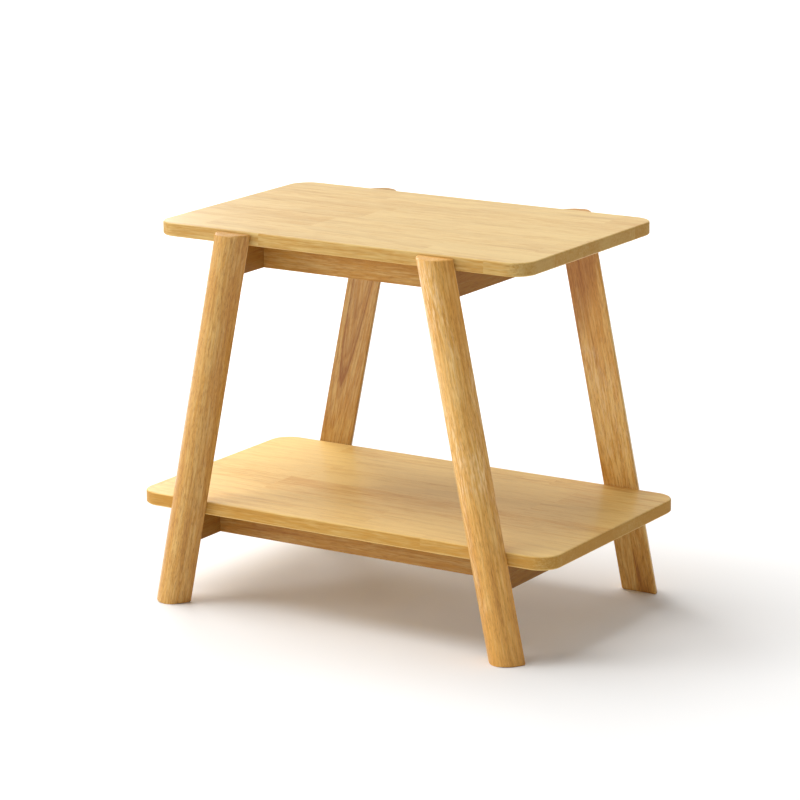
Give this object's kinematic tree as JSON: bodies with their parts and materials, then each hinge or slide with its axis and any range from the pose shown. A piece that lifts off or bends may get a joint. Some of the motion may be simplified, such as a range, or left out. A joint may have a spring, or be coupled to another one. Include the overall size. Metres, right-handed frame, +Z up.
{
  "type": "end table",
  "caption": "Small wooden end table with a rounded rectangular top, a longer shelf below it and splayed half-round legs joined by frames of rails.",
  "frame": {"origin": "on the floor, under the middle of the table", "axes": "+X along the length towards the right end, -Y towards the front, +Z up"},
  "size_m": [0.68, 0.432, 0.55],
  "materials": {
    "panel_wood": "satin clear lacquer",
    "leg_wood": "satin clear lacquer",
    "rail_wood": "satin clear lacquer",
    "tenon_wood": "bare wood",
    "screw_steel": "zinc plated"
  },
  "bodies": {
    "root": {"table_top": "panel_wood", "shelf": "panel_wood", "leg_front_left": "leg_wood", "leg_front_right": "leg_wood", "leg_rear_left": "leg_wood", "leg_rear_right": "leg_wood", "upper_side_rail_left": "rail_wood", "upper_side_rail_right": "rail_wood", "upper_front_rail": "rail_wood", "upper_rear_rail": "rail_wood", "upper_leg_tenons": "tenon_wood", "upper_rail_tenons": "tenon_wood", "lower_side_rail_left": "rail_wood", "lower_side_rail_right": "rail_wood", "lower_front_rail": "rail_wood", "lower_rear_rail": "rail_wood", "lower_leg_tenons": "tenon_wood", "lower_rail_tenons": "tenon_wood", "top_screws": "screw_steel", "shelf_screws": "screw_steel"}
  },
  "joints": []
}
